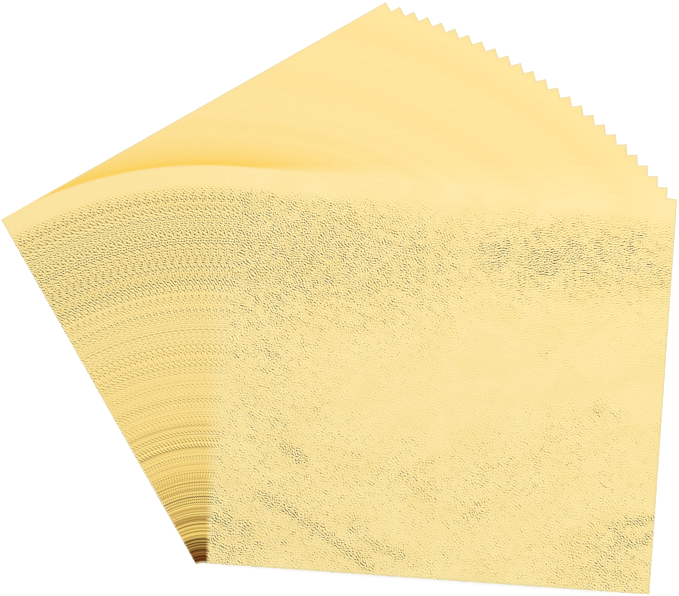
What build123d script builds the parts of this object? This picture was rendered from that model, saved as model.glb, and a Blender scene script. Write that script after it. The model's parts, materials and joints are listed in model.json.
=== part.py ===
from build123d import *
import os

# A fan of square-cut gold leaf sheets lying flat on a table, seen from above with +Y up the page.
# A sheet is one metal leaf lying on the tissue that carries it, both cut to the same outline.
# Sheet 1 is on top. Each sheet below it is turned one more step anticlockwise about the fan's
# centre, a point just outside the lower left corner that the sheets share. The origin is on the
# table, under the middle of the fan's outline. Lengths are in millimetres, angles in degrees.

# One sheet
leaf_width = 89.3
leaf_height = 80.0
leaf_thickness = 0.02
tissue_thickness = 0.03

# The room above each leaf for its crinkles, up to the tissue of the sheet that lies on it
crinkle_gap = 0.05

# Where the fan's centre lies from the lower left corner of every sheet, along the sheet's own edges
centre_left_of_corner = 0.37
centre_below_corner = 4.14

# The fan
sheet_count = 25
fan_step_angle = 1.397
top_sheet_angle = -4.04

sheet_pitch = tissue_thickness + leaf_thickness + crinkle_gap
sheet_numbers = range(1, sheet_count + 1)


def sheet_turn(number):
    """How far a sheet is turned anticlockwise from the X axis."""
    return top_sheet_angle + (number - 1) * fan_step_angle


def sheet_level(number):
    """The height of a sheet's underside above the table."""
    return (sheet_count - number) * sheet_pitch


def fan_outline_middle():
    """The middle of the box round every sheet's corners, measured from the fan's centre."""
    corners = [
        Vector(x, y).rotate(Axis.Z, sheet_turn(number))
        for number in sheet_numbers
        for x in (centre_left_of_corner, centre_left_of_corner + leaf_width)
        for y in (centre_below_corner, centre_below_corner + leaf_height)
    ]
    across = [corner.X for corner in corners]
    up = [corner.Y for corner in corners]
    return Vector((min(across) + max(across)) / 2, (min(up) + max(up)) / 2)


fan_centre = -fan_outline_middle()


def sheet_plane(number, height):
    """A plane turned with a sheet, at a height above its underside, with its origin on the fan's axis."""
    on_axis = Plane(origin=(fan_centre.X, fan_centre.Y, sheet_level(number) + height))
    return on_axis.rotated((0, 0, sheet_turn(number)))


def sheet_outline():
    """The outline that a leaf and its tissue are cut to, drawn in the sheet's own plane."""
    with Locations((centre_left_of_corner, centre_below_corner)):
        Rectangle(leaf_width, leaf_height, align=(Align.MIN, Align.MIN))


os.makedirs("parts", exist_ok=True)

for number in sheet_numbers:

    # The tissue that carries the leaf
    with BuildPart() as tissue:
        with BuildSketch(sheet_plane(number, 0)):
            sheet_outline()
        extrude(amount=tissue_thickness)
    tissue.part.label = f"tissue_{number:02d}"
    export_step(tissue.part, f"parts/{tissue.part.label}.step")

    # The metal leaf, lying on its tissue
    with BuildPart() as gold_leaf:
        with BuildSketch(sheet_plane(number, tissue_thickness)):
            sheet_outline()
        extrude(amount=leaf_thickness)
    gold_leaf.part.label = f"gold_leaf_{number:02d}"
    export_step(gold_leaf.part, f"parts/{gold_leaf.part.label}.step")

print("fan centre", round(fan_centre.X, 3), round(fan_centre.Y, 3))
print("stack height", round(sheet_count * sheet_pitch - crinkle_gap, 3))
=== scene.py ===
import json
import math
from types import SimpleNamespace

import bpy
import numpy as np
from mathutils import Matrix, Vector


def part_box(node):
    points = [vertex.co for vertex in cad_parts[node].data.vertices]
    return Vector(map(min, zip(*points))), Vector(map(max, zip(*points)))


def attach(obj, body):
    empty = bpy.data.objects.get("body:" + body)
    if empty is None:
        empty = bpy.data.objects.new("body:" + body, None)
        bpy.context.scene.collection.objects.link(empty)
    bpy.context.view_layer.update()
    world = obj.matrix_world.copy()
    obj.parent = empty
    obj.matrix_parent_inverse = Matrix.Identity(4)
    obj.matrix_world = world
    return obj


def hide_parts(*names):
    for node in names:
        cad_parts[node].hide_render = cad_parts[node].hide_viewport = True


# Dresses a fan of gold leaf sheets. Each CAD leaf becomes a crinkled foil and each CAD tissue a
# soft paper sheet. Every leaf has the same crinkles, as sheets cut from one embossed foil do, so
# the strips that show along the fan's left side draw rings about the fan's centre.
# Places on a sheet are u, to the right, and v, up, in millimetres from the fan's centre along the
# sheet's own edges. Sizes are in millimetres and leans in degrees, except that the frame and
# Blender's own lengths are in metres.

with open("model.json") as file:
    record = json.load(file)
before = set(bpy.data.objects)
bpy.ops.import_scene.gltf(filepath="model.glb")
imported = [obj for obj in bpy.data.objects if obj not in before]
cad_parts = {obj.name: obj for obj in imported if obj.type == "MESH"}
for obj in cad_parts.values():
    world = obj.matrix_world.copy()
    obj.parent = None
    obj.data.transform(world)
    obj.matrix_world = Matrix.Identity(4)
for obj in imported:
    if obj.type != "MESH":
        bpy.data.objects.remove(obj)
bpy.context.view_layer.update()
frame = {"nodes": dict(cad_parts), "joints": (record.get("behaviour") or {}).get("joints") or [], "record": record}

MM = 0.001
FAN_CENTRE = Vector(next(joint["pos_m"] for joint in frame["joints"] if joint["name"] == "fan_spread"))
SHEET_COUNT = sum(name.startswith("gold_leaf") for name in frame["nodes"])

# The level direction that the light comes from, in the sky and in the painted light on the crinkles
KEY_SIDE = Vector((0.53, 0.85, 0)).normalized()


# Where each sheet lies

def sheet_place(cad_node):
    """A CAD sheet's turn, its outline from the fan's centre in millimetres, and its levels in metres."""
    low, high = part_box(cad_node)
    points = frame["nodes"][cad_node].data.vertices
    decimals = 7
    corners = {(round(point.co.x, decimals), round(point.co.y, decimals)) for point in points}
    arms = sorted((Vector(corner) - FAN_CENTRE.xy for corner in corners), key=lambda arm: arm.length)
    inner, outer = arms[0], arms[-1]
    right = min(arms[1:-1], key=lambda arm: (outer - inner).to_2d().cross(arm - inner))
    turn = math.atan2(right.y - inner.y, right.x - inner.x)
    unturned = Matrix.Rotation(-turn, 2)
    left_u, base_v = (unturned @ inner) / MM
    right_u, top_v = (unturned @ outer) / MM
    return SimpleNamespace(turn=turn, u=(left_u, right_u), v=(base_v, top_v), bottom=low.z, top=high.z)


TOP_LEAF, SECOND_LEAF = sheet_place("gold_leaf_01"), sheet_place("gold_leaf_02")
TOP_TISSUE = sheet_place("tissue_01")
LEFT_U, RIGHT_U = TOP_LEAF.u
BASE_V, TOP_V = TOP_LEAF.v
LEAF_THICKNESS = (TOP_LEAF.top - TOP_LEAF.bottom) / MM
TISSUE_THICKNESS = (TOP_TISSUE.top - TOP_TISSUE.bottom) / MM

# The gap between a leaf and the tissue over it
AIR = (TOP_TISSUE.bottom - SECOND_LEAF.top) / MM

# A lower leaf shows a strip along its left edge, this times v wide, and one along its top edge, this
# times u wide.
STRIP_SLOPE = math.tan(abs(SECOND_LEAF.turn - TOP_LEAF.turn))


# Smooth noise, the same in every run

NOISE_CELLS = 256


def gradient_noise(x, y, seed):
    """Smooth noise from about -0.7 to 0.7 that varies over a length of 1."""
    angle = np.random.default_rng(seed).uniform(0, 2 * math.pi, (NOISE_CELLS, NOISE_CELLS))
    slope_x, slope_y = np.cos(angle), np.sin(angle)
    x0, y0 = np.floor(x).astype(int), np.floor(y).astype(int)
    fx, fy = x - x0, y - y0
    ease_x, ease_y = (f * f * f * (f * (f * 6 - 15) + 10) for f in (fx, fy))

    def corner(i, j):
        column, row = (x0 + i) % NOISE_CELLS, (y0 + j) % NOISE_CELLS
        return slope_x[row, column] * (fx - i) + slope_y[row, column] * (fy - j)

    low = corner(0, 0) + ease_x * (corner(1, 0) - corner(0, 0))
    high = corner(0, 1) + ease_x * (corner(1, 1) - corner(0, 1))
    return low + ease_y * (high - low)


def turned(u, v, lean):
    """Places measured along and across a line that leans from the u axis."""
    a = math.radians(lean)
    return u * math.cos(a) + v * math.sin(a), v * math.cos(a) - u * math.sin(a)


def stretched_noise(u, v, lean, length, width, seed):
    """Noise whose blotches are length by width and lean from the u axis."""
    along, across = turned(u, v, lean)
    return gradient_noise(along / length, across / width, seed)


def even_noise(u, v, length, seed):
    """Noise whose blotches are as wide as they are long."""
    return gradient_noise(u / length, v / length, seed)


def ramp(x, start, end):
    """0 at start, 1 at end, eased between them."""
    t = np.clip((x - start) / (end - start), 0, 1)
    return t * t * (3 - 2 * t)


def fade(distance, width):
    """1 at no distance, fading out past the width."""
    return np.exp(-(distance / width) ** 2)


# How rough the foil is, chosen from the photo, where 0 is smooth and about 1 fully crinkled.
# A patch is (u, v, half length, half width, lean, roughness).

BROAD_PATCHES = (
    (4, 68, 18, 13, -10, 0.95), (24, 70, 20, 9, -8, 0.55), (48, 70, 22, 8, -4, 0.42),
    (76, 71, 18, 8, 0, 0.5), (24, 57, 20, 10, -10, 0.42), (42, 60, 16, 8, 0, 0.25),
    (6, 50, 12, 12, 0, 0.48), (10, 36, 14, 14, 0, 0.38), (14, 22, 20, 10, -12, 0.36),
    (3, 8, 9, 9, 0, 0.95), (22, 10, 18, 8, -15, 0.34), (34, 26, 14, 8, -10, 0.32),
    (50, 22, 16, 9, 0, 0.32), (62, 30, 16, 9, 20, 0.28), (80, 10, 13, 10, -10, 0.72),
    (80, 30, 10, 12, 0, 0.22), (50, 8, 22, 6, 0, 0.26), (72, 39, 8, 5, 10, 0.2),
)
SMALL_PATCHES = (
    (11, 56, 2.2, 2.4, 0, 0.7), (14.5, 61.5, 3.2, 2.6, -10, 0.55), (10, 47.5, 3.2, 1.4, -15, 0.7),
    (13.5, 43.5, 1.6, 1.4, 0, 0.4), (12, 33.5, 3, 1.8, -20, 0.45), (16, 27.5, 2.8, 1.2, -35, 0.75),
    (21, 37, 1.6, 2.6, 0, 0.45), (25, 73.5, 2.4, 1.6, -20, 0.5), (54, 71.2, 2.6, 1.7, -20, 0.6),
    (52.8, 68, 2, 1.1, -10, 0.6), (62, 75, 1.2, 1.4, 0, 0.6), (62.5, 70.4, 2.8, 1.4, 10, 0.5),
    (64.5, 68.6, 2.6, 1.6, 0, 0.35), (70, 72.3, 2.6, 1.1, 20, 0.4), (87, 69, 3.4, 1.4, 5, 0.45),
    (77, 40.5, 2, 1.7, 0, 0.8), (81, 40, 1.4, 1, 0, 0.7), (65, 51, 1.4, 1.4, 0, 0.35),
    (53, 17.6, 3.6, 1.4, 20, 0.6), (38.5, 24.7, 3.6, 1.2, -10, 0.4), (42.5, 21.8, 2, 2, 0, 0.4),
    (29.3, 13.6, 1.3, 2, 10, 0.8), (43, 6.8, 1.8, 1.5, 0, 0.4), (83, 15.8, 2, 1.3, -30, 0.5),
    (70, 29.5, 2.4, 1.4, -10, 0.35), (39.4, 31.5, 1.4, 2, 0, 0.3),
)
PATCH_STEEPNESS = 1.2

# How far the broad patches' edges wander, and over what length
WANDERS = ((2.5, 7), (1.0, 2.5))
WANDER_SEED_U, WANDER_SEED_V = 11, 13

# Long creases, each a line of (u, v) points with its strength
CREASES = (
    (((9.5, 18.8), (14, 17), (19, 14.4), (24, 11.6), (29, 8.2), (33, 5.6)), 0.9),
    (((51.2, 71.6), (53, 71), (55.6, 71.3)), 1.0),
    (((51.6, 68.2), (53.2, 67.7), (54.6, 68.2)), 0.9),
    (((61.4, 70.6), (63.2, 71), (65.4, 70.6), (67, 71.4), (70.6, 72.8)), 0.8),
    (((62.4, 69), (64, 68.3), (66, 68.6)), 0.7),
    (((89.6, 19.4), (86.6, 18.8), (84, 18), (82, 16.6),
      (83, 15), (85.6, 13.9), (88, 14.9), (89.6, 16.4)), 0.6),
    (((0.4, 13.4), (3, 12.4), (6, 12.8), (8, 11.6)), 0.6),
    (((14.4, 28.8), (16.2, 27.6), (17.6, 26.4)), 0.8),
    (((32, 11), (35, 9.6), (39, 8.8)), 0.5),
)

# A crease roughens the foil within its reach as a patch does. Creases and small patches then add
# some roughness of their own.
CREASE_REACH = 0.9
CREASE_AS_PATCH = 0.8
CREASE_EXTRA = 1.1
SMALL_PATCH_EXTRA = 0.1

# Roughness where no patch is, what full patches add, and the most that there is
LEAST_ROUGH = 0.23
PATCHES_ADD = 0.86
MOST_ROUGH = 1.25

# Streaks multiply it by 1, give or take up to about this much, kept between two limits
STREAKS = {"lean": -32, "length": 3.4, "width": 0.9, "seed": 16}
STREAK_DEPTH = 0.8
STREAK_LIMITS = (0.3, 2)

# The upper part, which sets in between two heights, is rougher
UPPER_PART = (55, 66)
UPPER_EXTRA = 0.4

# Rougher stretches of the left edge, each (starts, full from, full to, ends, roughness)
LEFT_STRETCHES = ((12, 16, 31, 36, 0.35), (40, 46, 58, 64, 0.14))
LEFT_STRETCH_REACH = 1.2

# A strip along the top edge is nearly smooth. It ends between two distances from the edge, along a
# line that wavers.
TOP_STRIP_ROUGH = 0.04
TOP_STRIP_END = (3.2, 5.6)
TOP_STRIP_WAVER = 1.2
WAVERING = {"length": 4, "seed": 15}


def patch_reach(u, v, patch):
    """A patch's roughness at its middle, fading out past its edge."""
    at_u, at_v, half_length, half_width, lean, strength = patch
    along, across = turned(u - at_u, v - at_v, lean)
    return strength * np.exp(-PATCH_STEEPNESS * ((along / half_length) ** 2 + (across / half_width) ** 2))


def distance_to_line(u, v, points):
    """The distance from each place to a line through points."""
    nearest = np.full(np.shape(u), np.inf)
    for (u0, v0), (u1, v1) in zip(points, points[1:]):
        du, dv = u1 - u0, v1 - v0
        share = np.clip(((u - u0) * du + (v - v0) * dv) / (du * du + dv * dv), 0, 1)
        nearest = np.minimum(nearest, np.hypot(u - u0 - share * du, v - v0 - share * dv))
    return nearest


def wandering(at, u, v, seed):
    """One of the coordinates of each place, moved a little to and fro."""
    moves = (far * even_noise(u, v, length, seed + k) for k, (far, length) in enumerate(WANDERS))
    return at + sum(moves)


def left_stretches(u, v):
    """The roughness that the left edge adds."""
    near = np.exp((LEFT_U - u) / LEFT_STRETCH_REACH)
    return sum(strength * near * ramp(v, starts, full_from) * ramp(v, ends, full_to)
               for starts, full_from, full_to, ends, strength in LEFT_STRETCHES)


def roughness(u, v):
    """How rough the foil is at each place."""
    wander_u, wander_v = wandering(u, u, v, WANDER_SEED_U), wandering(v, u, v, WANDER_SEED_V)
    broad = [patch_reach(wander_u, wander_v, patch) for patch in BROAD_PATCHES]
    small = [patch_reach(u, v, patch) for patch in SMALL_PATCHES]
    creased = [strength * fade(distance_to_line(u, v, points), CREASE_REACH)
               for points, strength in CREASES]
    creases_as_patches = [CREASE_AS_PATCH * crease for crease in creased]
    smooth = math.prod(1 - reach for reach in [*broad, *small, *creases_as_patches])
    streaks = 1 + STREAK_DEPTH * stretched_noise(u, v, **STREAKS)
    rough = LEAST_ROUGH + PATCHES_ADD * (1 - smooth)
    rough *= (1 + UPPER_EXTRA * ramp(v, *UPPER_PART)) * np.clip(streaks, *STREAK_LIMITS)
    rough += SMALL_PATCH_EXTRA * sum(small) + left_stretches(u, v) + CREASE_EXTRA * sum(creased)
    from_top = TOP_V - v + TOP_STRIP_WAVER * even_noise(u, v, **WAVERING)
    below_strip = ramp(from_top, *TOP_STRIP_END)
    return np.minimum(rough, MOST_ROUGH) * (TOP_STRIP_ROUGH + (1 - TOP_STRIP_ROUGH) * below_strip)


# The fine crinkles, and how sharply finer and wider ones are cut off

FINEST_PITCH, WIDEST_PITCH = 0.34, 0.75
FINE_CUT, WIDE_CUT = 6, 4

# A level field counts as a wave this long, so that its fineness is never 0
LONGEST_WAVE = 1000

# How much the crinkles keep to their lean, from 0 to 1
LEANING = 0.75

# How much painted shade being in a valley gives them, where facing away from the light counts 1
VALLEY_SHADE = 0.65

# The grid that they are worked out on, which is larger than a sheet
GRID_POINTS, GRID_SPACING = 1024, 0.1

# Two kinds of crinkles, falling to the right and rising to the right. The rising ones take over
# in the upper right part of a sheet, across a slanted band on its left and a level one below.
FALLING = {"lean": -40, "drawn_out": 2, "seed": 21}
RISING = {"lean": 24, "drawn_out": 2.5, "seed": 22}
SLANTED_BAND = (44, 66)
SLANT, SLANT_CENTRE = 0.3, 50
LEVEL_BAND = (36, 52)


def crumple(u, v, lean, drawn_out, seed):
    """Random bumps of all widths between the finest and the widest pitch, drawn out along a lean.

    Gives their height and a painted lightness from about -2 to 2, which stands in for light and shade. The painted
    shade is darkest on the sides away from the light and in the valleys."""
    waves_per_mm = np.fft.fftfreq(GRID_POINTS, GRID_SPACING)
    along_u, along_v = np.meshgrid(waves_per_mm, waves_per_mm)
    fineness = np.maximum(np.hypot(along_u, along_v), 1 / LONGEST_WAVE)
    kept = np.exp(-(fineness * FINEST_PITCH) ** FINE_CUT - (fineness * WIDEST_PITCH) ** -WIDE_CUT)
    crosswise = np.abs(np.cos(np.arctan2(along_v, along_u) - math.radians(lean + 90)))
    kept *= 1 - LEANING + LEANING * crosswise ** drawn_out
    grain = np.fft.fft2(np.random.default_rng(seed).standard_normal((GRID_POINTS, GRID_POINTS))) * kept
    downhill = -1j * (along_u * KEY_SIDE.x + along_v * KEY_SIDE.y)
    height, lit = (np.fft.ifft2(waves).real for waves in (grain, grain * downhill))
    # Painted light and shade: lighter on the sides facing the light, darker on the sides facing away and in the
    # valleys
    painted_light = lit / lit.std() + VALLEY_SHADE * height / height.std()
    column, row = u / GRID_SPACING, v / GRID_SPACING
    return [between_points(field / field.std(), column, row) for field in (height, painted_light)]


def between_points(field, column, row):
    """Values of a grid of numbers at places between its points."""
    c, r = np.floor(column).astype(int), np.floor(row).astype(int)
    fc, fr = column - c, row - r
    low = field[r, c] + fc * (field[r, c + 1] - field[r, c])
    high = field[r + 1, c] + fc * (field[r + 1, c + 1] - field[r + 1, c])
    return low + fr * (high - low)


def crinkle(u, v, rough):
    """The heights of the fine crinkles, and the painted light and shade on them."""
    rising_share = ramp(u + SLANT * (v - SLANT_CENTRE), *SLANTED_BAND) * ramp(v, *LEVEL_BAND)
    falling, rising = crumple(u, v, **FALLING), crumple(u, v, **RISING)
    return [rough * ((1 - rising_share) * a + rising_share * b) for a, b in zip(falling, rising)]


# Creases that run in from the left edge near the fan's corner, each a shallow dent darkened with painted shade, as
# (v, strength)

EDGE_CREASES = (
    (4.15, 1.0), (4.5, 0.8), (5.0, 1.0), (5.65, 1.0), (6.2, 0.6), (6.85, 1.0), (7.3, 0.8),
    (7.85, 1.0), (8.35, 1.0), (9.1, 1.0), (9.7, 0.5), (10.5, 0.3), (11.3, 0.2), (12.05, 0.95),
    (13.0, 1.0), (13.5, 0.5), (14.6, 0.4), (15.2, 0.6), (16.9, 0.25), (17.6, 0.5), (18.9, 0.4),
    (20.5, 0.45), (21.3, 0.35), (24.2, 0.2), (27.5, 0.35), (32.0, 0.3),
)

# How wide they are, how far in they reach, and over how much of that they fade
EDGE_CREASE_WIDTH = 0.18
EDGE_CREASE_LENGTH = 1.6
EDGE_CREASE_TAPER = 1.0


def edge_creases(u, v):
    """How much the creases from the left edge are dented and darkened with painted shade at each place."""
    shown = ramp(LEFT_U + EDGE_CREASE_LENGTH - u, 0, EDGE_CREASE_TAPER)
    return shown * sum(dark * fade(v - at, EDGE_CREASE_WIDTH) for at, dark in EDGE_CREASES)


# The foil's relief, from its fine crinkles to swells over centimetres, and its creases

CRINKLE_HEIGHT = 0.013
WAVE_HEIGHT = 0.009
WAVES = {"lean": -20, "length": 2.6, "width": 1.6, "seed": 25}
SWELL_HEIGHT = 0.005
SWELLS = {"lean": -20, "length": 16, "width": 9, "seed": 26}
CREASE_HEIGHT, CREASE_WIDTH = 0.008, 0.22
CREASE_WOBBLE = 0.6
WOBBLING = {"length": 1.2, "seed": 27}
EDGE_CREASE_DEPTH = 0.006

# How far the relief's middle lies over the CAD leaf's top
LIFT = 0.013

# The least metal under the deepest crinkle, and the least air over the highest
LEAST_METAL, LEAST_AIR = 0.002, 0.006


def relief(u, v, rough, crinkles, dark_creases):
    """Heights of the foil over the CAD leaf's top."""
    height = CRINKLE_HEIGHT * crinkles + WAVE_HEIGHT * rough * stretched_noise(u, v, **WAVES)
    height += SWELL_HEIGHT * stretched_noise(u, v, **SWELLS)
    wobble = CREASE_WOBBLE * even_noise(u, v, **WOBBLING)
    for points, strength in CREASES:
        height += CREASE_HEIGHT * strength * fade(distance_to_line(u, v, points) + wobble, CREASE_WIDTH)
    height -= EDGE_CREASE_DEPTH * dark_creases
    return np.clip(LIFT + height, LEAST_METAL - LEAF_THICKNESS, AIR - LEAST_AIR)


# Meshes. Faces that meet at more than this angle do so at a sharp edge.

SHARP_ANGLE = 60


def steps(start, end, spacing):
    """Places from start to end, evenly apart by about the spacing."""
    return np.linspace(start, end, max(2, round((end - start) / spacing) + 1))


def border_ring(faces, count):
    """The points round the outside of a sheet of faces, in order."""
    edges = np.concatenate([np.stack([group, np.roll(group, -1, 1)], -1).reshape(-1, 2) for group in faces])
    outer = edges[~np.isin(edges[:, 0] * count + edges[:, 1], edges[:, 1] * count + edges[:, 0])]
    onward = dict(outer.tolist())
    ring = [int(outer[0, 0])]
    while onward[ring[-1]] != ring[0]:
        ring.append(onward[ring[-1]])
    return np.array(ring)


def sheet_mesh(name, u, v, top_z, faces):
    """A closed mesh of a relieved top over a flat base. The top's points are u, v and top_z."""
    border = border_ring(faces, len(u))
    points = np.r_[np.c_[u, v, top_z], np.c_[u[border], v[border], np.zeros(len(border))]]
    base = len(u) + np.arange(len(border))
    walls = np.c_[border, base, np.roll(base, -1), np.roll(border, -1)]
    groups = [*faces, walls, base[None, ::-1]]
    corners = np.concatenate([group.ravel() for group in groups])
    sizes = np.concatenate([np.full(len(group), group.shape[1]) for group in groups])
    mesh = bpy.data.meshes.new(name)
    mesh.vertices.add(len(points))
    mesh.vertices.foreach_set("co", (points * MM).astype(np.float32).ravel())
    mesh.loops.add(len(corners))
    mesh.loops.foreach_set("vertex_index", corners.astype(np.int32))
    mesh.polygons.add(len(sizes))
    mesh.polygons.foreach_set("loop_start", (np.cumsum(sizes) - sizes).astype(np.int32))
    mesh.update(calc_edges=True)
    smooth = np.zeros(len(sizes), bool)
    smooth[:sum(len(group) for group in faces)] = True
    mesh.polygons.foreach_set("use_smooth", smooth)
    mesh.set_sharp_from_angle(angle=math.radians(SHARP_ANGLE))
    place = mesh.attributes.new("place", "FLOAT_VECTOR", "POINT")
    place.data.foreach_set("vector", points.astype(np.float32).ravel())
    return mesh


def set_value(mesh, name, values):
    """Stores one number with all of a mesh's points, or a number with each point of its top."""
    stored = np.zeros(len(mesh.vertices), np.float32)
    stored[:np.size(values) if np.ndim(values) else None] = values
    mesh.attributes.new(name, "FLOAT", "POINT").data.foreach_set("value", stored)


def grid_points(us, vs):
    """The u and the v of each point of a grid, a column at a time."""
    return [axis.ravel() for axis in np.meshgrid(us, vs, indexing="ij")]


def grid_faces(first, columns, rows):
    """Squares over a grid of points that are numbered from first."""
    low_left = first + (np.arange(columns - 1)[:, None] * rows + np.arange(rows - 1)).ravel()
    return np.c_[low_left, low_left + rows, low_left + rows + 1, low_left + 1]


def full_grid(spacing):
    """Points and squares over a whole sheet, evenly fine."""
    us, vs = steps(LEFT_U, RIGHT_U, spacing), steps(BASE_V, TOP_V, spacing)
    return *grid_points(us, vs), [grid_faces(0, len(us), len(vs))]


def graded_grid(margin, fine, ratio):
    """Points and faces over a sheet, fine in the left margin and ratio times as coarse beyond it."""
    coarse_rows = round((TOP_V - BASE_V) / (fine * ratio))
    fine_vs = np.linspace(BASE_V, TOP_V, coarse_rows * ratio + 1)
    fine_us = steps(LEFT_U, LEFT_U + margin, fine)
    coarse_us = steps(LEFT_U + margin, RIGHT_U, fine * ratio)[1:]
    left_u, left_v = grid_points(fine_us, fine_vs)
    right_u, right_v = grid_points(coarse_us, fine_vs[::ratio])
    first = len(left_u)
    seam = (len(fine_us) - 1) * len(fine_vs)
    row = np.arange(coarse_rows)[:, None]
    joining = np.c_[seam + row * ratio + np.arange(ratio, -1, -1), first + row, first + row + 1]
    left_faces = grid_faces(0, len(fine_us), len(fine_vs))
    right_faces = grid_faces(first, len(coarse_us), coarse_rows + 1)
    return np.r_[left_u, right_u], np.r_[left_v, right_v], [left_faces, right_faces, joining]


# Building blocks of the materials. The Mix node has its factor in socket 0, its numbers in 2 and 3,
# and its colours in 6 and 7.

def node(tree, kind, inputs=None, **settings):
    """Adds a node, sets its named properties, and fills or links its inputs."""
    made = tree.nodes.new(kind)
    for key, value in settings.items():
        setattr(made, key, value)
    for key, value in (inputs or {}).items():
        if isinstance(value, bpy.types.NodeSocket):
            tree.links.new(value, made.inputs[key])
        else:
            made.inputs[key].default_value = value
    return made


def maths(tree, operation, *values):
    return node(tree, "ShaderNodeMath", dict(enumerate(values)), operation=operation).outputs[0]


def product(tree, value, *others):
    for other in others:
        value = maths(tree, "MULTIPLY", value, other)
    return value


def mix_floats(tree, factor, a, b):
    return node(tree, "ShaderNodeMix", {0: factor, 2: a, 3: b}, data_type="FLOAT").outputs[0]


def mix_colours(tree, factor, a, b, blend="MIX"):
    return node(tree, "ShaderNodeMix", {0: factor, 6: a, 7: b}, data_type="RGBA", blend_type=blend).outputs[2]


def spread(tree, value, start, end, low=0.0, high=1.0, easing="LINEAR"):
    """low at start and before, high at end and beyond, in a straight line between."""
    return node(tree, "ShaderNodeMapRange", {0: value, 1: start, 2: end, 3: low, 4: high},
                interpolation_type=easing).outputs[0]


def eased(tree, value, start, end, low=0.0, high=1.0):
    """As spread, but with a smooth start and end."""
    return spread(tree, value, start, end, low, high, "SMOOTHSTEP")


def stored_value(tree, name, output="Fac"):
    """What the mesh stores under a name at each point."""
    return node(tree, "ShaderNodeAttribute", attribute_name=name).outputs[output]


def drawn_noise(tree, place, lean, length, width, seed):
    """Crooked noise from 0 to 1 whose blotches are about length by width and lean from the u axis."""
    unlike_others = (seed * 7.3, seed * 3.1, 0)
    turned_place = node(tree, "ShaderNodeMapping", {
        "Vector": place, "Rotation": (0, 0, math.radians(-lean)), "Location": unlike_others,
    }, vector_type="POINT")
    squeezed = node(tree, "ShaderNodeVectorMath", {0: turned_place.outputs[0], 1: (1 / length, 1 / width, 0)},
                    operation="MULTIPLY")
    noise = node(tree, "ShaderNodeTexNoise", {
        "Vector": squeezed.outputs[0], "Scale": 1.0, "Detail": 2.0, "Roughness": 0.55, "Distortion": 0.35,
    }, noise_dimensions="2D")
    return noise.outputs[0]


def linear(red, green, blue):
    """A colour given as it looks on screen, from 0 to 255, in linear light."""
    def channel(c):
        c /= 255
        return c / 12.92 if c <= 0.04045 else ((c + 0.055) / 1.055) ** 2.4
    return (channel(red), channel(green), channel(blue), 1)


def new_material(name):
    material = bpy.data.materials.new(name)
    material.use_nodes = True
    tree = material.node_tree
    tree.nodes.clear()
    shader = node(tree, "ShaderNodeBsdfPrincipled")
    output = node(tree, "ShaderNodeOutputMaterial", {"Surface": shader.outputs[0]})
    output.target = "ALL"
    return material, tree, shader


# Gold foil. A tint is a colour to multiply by. A pair is the two places, or the two values of the painted
# lightness or the noise, between which a tone comes in or fades.

GOLD, PALE_GOLD = linear(254, 231, 164), linear(255, 234, 172)
GOLD_CLOUDS = {"lean": 10, "length": 9, "width": 6, "seed": 4}
CLOUD_EDGES = (0.3, 0.7)
ROUGH_TINT = (0.6, 0.56, 0.5, 1)
ROUGH_TINT_SHARE = 0.15

# Painted light and shade on the crinkles: a tint for those in painted shade, a colour for the darkest painted
# shade and a painted glint, with the painted lightness over which each comes in
CRINKLE_SHADE_TINT = (0.96, 0.85, 0.3, 1)
SHADED = (0.0, -0.8)
CRINKLE_DEEP_SHADE = linear(34, 18, 0)
DARK = (-0.32, -1.25)
GLINT = linear(255, 252, 200)
BRIGHT = (0.1, 1.2)
GLINT_SHARE = 0.95

# Painted shade and reflection on the strips that the lower leaves show: the deeper gold that shade and light
# bouncing between the stacked leaves give them. It is strongest where they are narrow, fades over these widths,
# and ends just past the strips.
STRIP_SHADE_TINT = (1.0, 0.75, 0.04, 1)
LEFT_TONE, LEFT_TONE_WIDTH = 0.75, 0.85
TOP_TONE, TOP_TONE_WIDTH = 0.72, 0.6
LEAST_TOP_TONE = 0.15
TOP_TONE_COMES_IN = (3.0, 11.0)
PAST_STRIP = (0.1, 0.7)

# Painted shade: red-brown at the fan's corner, where the strips crowd together, and dark in the creases there,
# which turn paler further up
CORNER_SHADE_TINT = (0.42, 0.15, 0.16, 1)
CORNER_COMES_IN = (10.5, 4.4)
LOW_CREASE_SHADE, HIGH_CREASE_SHADE = linear(48, 14, 2), linear(142, 86, 18)
CREASES_TURN_PALER = (6.5, 13.0)

# Pale, greyish rims along the sheets' edges. Those of the fan's outer edge are paler, and take in the teeth on its
# right.
RIM, RIM_SHARE = linear(234, 221, 168), 0.8
OUTER_RIM, OUTER_RIM_SHARE = linear(234, 222, 184), 0.7
RIM_FADES = (0.15, 0.5)
TOOTH_COMES_IN = (3.0, 1.5)

# Grain finer than the mesh, and how blurred the foil's reflections are
GRAIN = {"lean": -36, "length": 0.30, "width": 0.17, "seed": 1}
GRAIN_HEIGHT = 0.005
BLUR_WHERE_SMOOTH, BLUR_WHERE_ROUGH = 0.22, 0.13


def painted_crinkle_light(tree, place, rough):
    """Gold with painted shade where the crinkles face away from the light and in their valleys, and painted
    highlights where they face it.
    """
    painted_light = stored_value(tree, "painted_light")
    clouds = drawn_noise(tree, place, **GOLD_CLOUDS)
    colour = mix_colours(tree, eased(tree, clouds, *CLOUD_EDGES), GOLD, PALE_GOLD)
    colour = mix_colours(tree, product(tree, rough, ROUGH_TINT_SHARE), colour, ROUGH_TINT, "MULTIPLY")
    colour = mix_colours(tree, spread(tree, painted_light, *SHADED), colour, CRINKLE_SHADE_TINT, "MULTIPLY")
    colour = mix_colours(tree, spread(tree, painted_light, *DARK), colour, CRINKLE_DEEP_SHADE)
    return mix_colours(tree, spread(tree, painted_light, *BRIGHT, 0.0, GLINT_SHARE), colour, GLINT)


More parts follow.
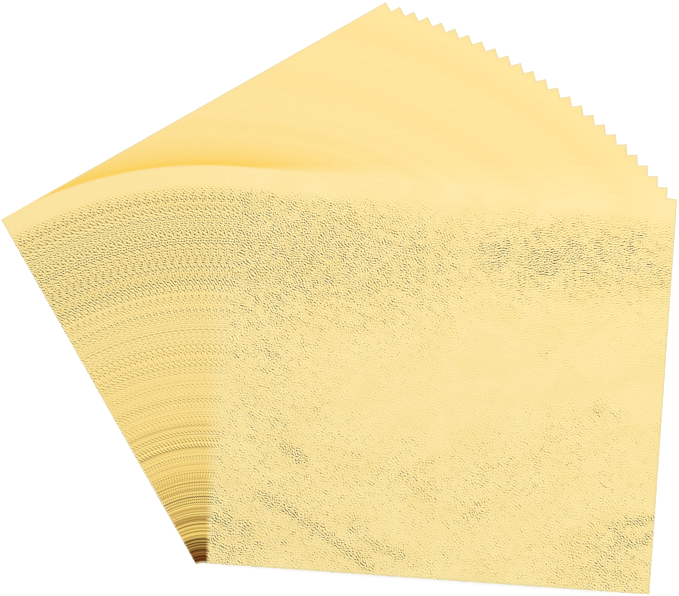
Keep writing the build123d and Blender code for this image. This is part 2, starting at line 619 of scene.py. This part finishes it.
def painted_strip_shade(tree, colour, u, v, in_left, from_top, painted_shade_share):
    """Adds painted shade and reflection, a deeper gold, on the strips along the left and top edges of the lower
    leaves.
    """
    left_width, top_width = product(tree, v, STRIP_SLOPE), product(tree, u, STRIP_SLOPE)
    left_fading = maths(tree, "EXPONENT", maths(tree, "DIVIDE", left_width, -LEFT_TONE_WIDTH))
    left_tone = product(tree, left_fading, LEFT_TONE)
    narrow = maths(tree, "DIVIDE", top_width, TOP_TONE_WIDTH)
    top_fading = maths(tree, "EXPONENT", product(tree, narrow, narrow, -1.0))
    top_tone = maths(tree, "MULTIPLY_ADD", top_fading, TOP_TONE, LEAST_TOP_TONE)
    in_top = eased(tree, maths(tree, "SUBTRACT", from_top, top_width), *PAST_STRIP, 1.0, 0.0)
    top_tone = product(tree, top_tone, in_top, eased(tree, u, *TOP_TONE_COMES_IN))
    tone = product(tree, mix_floats(tree, in_left, top_tone, left_tone), painted_shade_share)
    return mix_colours(tree, tone, colour, STRIP_SHADE_TINT, "MULTIPLY")


def painted_corner_shade(tree, colour, v, in_left, painted_shade_share):
    """Adds painted shade, red-brown at the fan's corner and dark in the creases that run in there."""
    by_corner = product(tree, eased(tree, v, *CORNER_COMES_IN), in_left, painted_shade_share)
    colour = mix_colours(tree, by_corner, colour, CORNER_SHADE_TINT, "MULTIPLY")
    crease_colour = mix_colours(tree, eased(tree, v, *CREASES_TURN_PALER), LOW_CREASE_SHADE, HIGH_CREASE_SHADE)
    return mix_colours(tree, product(tree, stored_value(tree, "edge_crease"), painted_shade_share), colour, crease_colour)


def pale_rims(tree, colour, v, from_left, from_right, from_top):
    """Adds the pale rims. The left and top ones show on the lowest leaf, and at the fan's teeth."""
    from_base = maths(tree, "SUBTRACT", v, BASE_V)
    rim = eased(tree, maths(tree, "MINIMUM", from_right, from_base), *RIM_FADES, RIM_SHARE, 0.0)
    colour = mix_colours(tree, rim, colour, RIM)
    outer = maths(tree, "MAXIMUM", stored_value(tree, "outer"), eased(tree, from_right, *TOOTH_COMES_IN))
    rim = eased(tree, maths(tree, "MINIMUM", from_left, from_top), *RIM_FADES, OUTER_RIM_SHARE, 0.0)
    return mix_colours(tree, product(tree, rim, outer), colour, OUTER_RIM)


def foil_material():
    """Pale gold foil with painted light and shade on its crinkles, painted shade and reflection on its strips,
    painted shade at its corner, and pale rims.
    """
    material, tree, shader = new_material("gold_foil")
    place = stored_value(tree, "place", "Vector")
    rough, painted_shade_share = stored_value(tree, "rough"), stored_value(tree, "painted_shade_share")
    u, v = node(tree, "ShaderNodeSeparateXYZ", {0: place}).outputs[:2]
    from_left, from_right = maths(tree, "SUBTRACT", u, LEFT_U), maths(tree, "SUBTRACT", RIGHT_U, u)
    from_top = maths(tree, "SUBTRACT", TOP_V, v)
    past_strip = maths(tree, "SUBTRACT", from_left, product(tree, v, STRIP_SLOPE))
    in_left = eased(tree, past_strip, *PAST_STRIP, 1.0, 0.0)

    colour = painted_crinkle_light(tree, place, rough)
    colour = painted_strip_shade(tree, colour, u, v, in_left, from_top, painted_shade_share)
    colour = painted_corner_shade(tree, colour, v, in_left, painted_shade_share)
    colour = pale_rims(tree, colour, v, from_left, from_right, from_top)

    grain = product(tree, drawn_noise(tree, place, **GRAIN), rough)
    bump = node(tree, "ShaderNodeBump", {"Strength": 1.0, "Distance": GRAIN_HEIGHT * MM, "Height": grain})
    blur = eased(tree, rough, 0.0, 1.0, BLUR_WHERE_SMOOTH, BLUR_WHERE_ROUGH)
    tree.links.new(colour, shader.inputs["Base Color"])
    tree.links.new(blur, shader.inputs["Roughness"])
    tree.links.new(bump.outputs[0], shader.inputs["Normal"])
    shader.inputs["Metallic"].default_value = 1.0
    return material


# Tissue paper

PAPER, PALE_PAPER, PAPER_FIBRE = linear(240, 238, 232), linear(248, 247, 243), linear(222, 219, 210)
PAPER_CLOUDS = {"lean": -30, "length": 6, "width": 5, "seed": 6}
FIBRES = {"lean": 12, "length": 1.8, "width": 0.35, "seed": 5}
FIBRE_EDGES = (0.55, 0.8)
FIBRE_SHARE = 0.35
FIBRE_HEIGHT, FIBRE_BUMP = 0.01, 0.5
PAPER_BLUR = 0.85


def tissue_material():
    """Thin white paper with a faint fibre."""
    material, tree, shader = new_material("tissue_paper")
    place = stored_value(tree, "place", "Vector")
    fibre, clouds = drawn_noise(tree, place, **FIBRES), drawn_noise(tree, place, **PAPER_CLOUDS)
    colour = mix_colours(tree, eased(tree, clouds, *CLOUD_EDGES), PAPER, PALE_PAPER)
    colour = mix_colours(tree, eased(tree, fibre, *FIBRE_EDGES, 0.0, FIBRE_SHARE), colour, PAPER_FIBRE)
    bump = node(tree, "ShaderNodeBump", {
        "Strength": FIBRE_BUMP, "Distance": FIBRE_HEIGHT * MM, "Height": fibre,
    })
    tree.links.new(colour, shader.inputs["Base Color"])
    tree.links.new(bump.outputs[0], shader.inputs["Normal"])
    shader.inputs["Roughness"].default_value = PAPER_BLUR
    return material


# Pieces. A lower leaf is meshed finely only in its left margin, wide enough for the crinkles that show
# of it when the fan is wide open.

FOIL_SPACING = 0.133
FINE_MARGIN = 4.2
TIMES_COARSER = 5

# The tissue's cockle, and how far its middle lies under the CAD tissue's top
PAPER_SPACING = 1.5
COCKLE = {"lean": 20, "length": 14, "width": 6, "seed": 31}
COCKLE_HEIGHT, COCKLE_ROOM = 0.004, 0.003

# The painted shade and reflection on the strips, and the painted shade at the corner and its creases, build up
# over this many leaves below the top one
LEAVES_TO_FULL_SHADE = 4


def foil_mesh(name, u, v, faces):
    """A crinkled leaf, which stores what its material needs."""
    rough, dark_creases = roughness(u, v), edge_creases(u, v)
    crinkles, painted_light = crinkle(u, v, rough)
    mesh = sheet_mesh(name, u, v, LEAF_THICKNESS + relief(u, v, rough, crinkles, dark_creases), faces)
    # The painted light and shade that the foil's colour follows
    set_value(mesh, "rough", rough)
    set_value(mesh, "painted_light", painted_light)
    set_value(mesh, "edge_crease", dark_creases)
    return mesh


def paper_mesh(name, u, v, faces):
    """A slightly cockled tissue."""
    cockle = COCKLE_HEIGHT * stretched_noise(u, v, **COCKLE)
    return sheet_mesh(name, u, v, TISSUE_THICKNESS - COCKLE_ROOM + cockle, faces)


def body_of_node(cad_node):
    return next(body for body, nodes in frame["record"]["behaviour"]["bodies"].items() if cad_node in nodes)


def put_sheet(name, mesh, cad_node, material):
    """Turns a copy of a sheet's mesh to a CAD sheet's place and dresses the CAD sheet with it."""
    place = sheet_place(cad_node)
    own = mesh.copy()
    own.name = name
    own.transform(Matrix.Translation((FAN_CENTRE.x, FAN_CENTRE.y, place.bottom))
                  @ Matrix.Rotation(place.turn, 4, "Z"))
    own.materials.append(material)
    piece = bpy.data.objects.new(name, own)
    bpy.context.scene.collection.objects.link(piece)
    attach(piece, body_of_node(cad_node))
    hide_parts(cad_node)
    return piece


def build_sheets():
    top_foil = foil_mesh("top_foil", *full_grid(FOIL_SPACING))
    lower_foil = foil_mesh("foil", *graded_grid(FINE_MARGIN, FOIL_SPACING, TIMES_COARSER))
    paper = paper_mesh("paper", *full_grid(PAPER_SPACING))
    gold, white = foil_material(), tissue_material()
    for number in range(1, SHEET_COUNT + 1):
        leaf_node, tissue_node = f"gold_leaf_{number:02d}", f"tissue_{number:02d}"
        on_top, lowest = number == 1, number == SHEET_COUNT
        tissue = put_sheet(f"paper_{number:02d}", paper, tissue_node, white)
        leaf = put_sheet(f"foil_{number:02d}", top_foil if on_top else lower_foil,
                         leaf_node, gold)
        # How much painted shade and reflection this leaf's strips, corner and creases get
        set_value(leaf.data, "painted_shade_share", min(1, (number - 1) / LEAVES_TO_FULL_SHADE))
        set_value(leaf.data, "outer", float(lowest))


# Floor. Its half width is in metres. It glows enough to be white to the camera and in reflections.

FLOOR_HALF = 3.0
FLOOR_GREY = (0.9, 0.9, 0.9, 1)
FLOOR_BLUR = 0.9
FLOOR_GLOW = 0.45


def build_floor():
    mesh = bpy.data.meshes.new("floor")
    quarters = ((-1, -1), (1, -1), (1, 1), (-1, 1))
    mesh.from_pydata([(x * FLOOR_HALF, y * FLOOR_HALF, 0) for x, y in quarters], [], [(0, 1, 2, 3)])
    floor = bpy.data.objects.new("floor", mesh)
    bpy.context.scene.collection.objects.link(floor)
    material, tree, shader = new_material("floor_white")
    shader.inputs["Base Color"].default_value = FLOOR_GREY
    shader.inputs["Roughness"].default_value = FLOOR_BLUR
    shader.inputs["Specular IOR Level"].default_value = 0.0
    shader.inputs["Emission Color"].default_value = (1, 1, 1, 1)
    path = node(tree, "ShaderNodeLightPath").outputs
    seen = maths(tree, "MAXIMUM", maths(tree, "MAXIMUM", path["Is Camera Ray"], path["Is Glossy Ray"]),
                 path["Is Transmission Ray"])
    tree.links.new(product(tree, seen, FLOOR_GLOW), shader.inputs["Emission Strength"])
    mesh.materials.append(material)


# Sky. Its shaded and bright sides come in over a pair of cosines of the angle from the light's side,
# and its high part over a pair of heights, from 0, level, to 1, overhead.

SKY_LEVEL = 1.003
SHADE, SHINE = 0.5, 0.18
SHADED_SIDE = (-0.05, -0.22)
BRIGHT_SIDE = (0.0, 0.25)
HIGH_PART = (0.3, 0.6)


def build_light():
    """An even white sky. High up, it is brighter towards one side and dimmer towards the other."""
    world = bpy.data.worlds.new("studio")
    bpy.context.scene.world = world
    world.use_nodes = True
    tree = world.node_tree
    tree.nodes.clear()
    direction = node(tree, "ShaderNodeTexCoord").outputs["Generated"]
    towards = node(tree, "ShaderNodeVectorMath", {0: direction, 1: KEY_SIDE}, operation="DOT_PRODUCT")
    up = node(tree, "ShaderNodeSeparateXYZ", {0: direction}).outputs[2]
    dark = spread(tree, towards.outputs["Value"], *SHADED_SIDE, 0.0, SHADE)
    bright = spread(tree, towards.outputs["Value"], *BRIGHT_SIDE, 0.0, SHINE)
    slant = product(tree, maths(tree, "SUBTRACT", bright, dark), eased(tree, up, *HIGH_PART))
    strength = maths(tree, "ADD", SKY_LEVEL, slant)
    sky = node(tree, "ShaderNodeBackground", {"Color": (1, 1, 1, 1), "Strength": strength})
    node(tree, "ShaderNodeOutputWorld", {"Surface": sky.outputs[0]})


def build_camera():
    """Straight down, framed as the photograph is. The fan's centre lies at centre_pixel there."""
    pixels_per_mm = 4.962
    photo_width, photo_height = 679, 596
    centre_pixel = Vector((204.16, 583.78))
    sensor, lens = 36, 400
    nearest, farthest = 0.01, 100
    view_width = photo_width / pixels_per_mm * MM
    data = bpy.data.cameras.new("camera")
    data.sensor_width, data.lens = sensor, lens
    data.clip_start, data.clip_end = nearest, farthest
    across = (photo_width / 2 - centre_pixel.x) / pixels_per_mm * MM
    up = (centre_pixel.y - photo_height / 2) / pixels_per_mm * MM
    camera = bpy.data.objects.new("camera", data)
    bpy.context.scene.collection.objects.link(camera)
    camera.location = (FAN_CENTRE.x + across, FAN_CENTRE.y + up, TOP_LEAF.top + view_width * lens / sensor)
    bpy.context.scene.camera = camera


bpy.context.scene.view_settings.view_transform = "Standard"
build_camera()
build_light()
build_floor()
build_sheets()
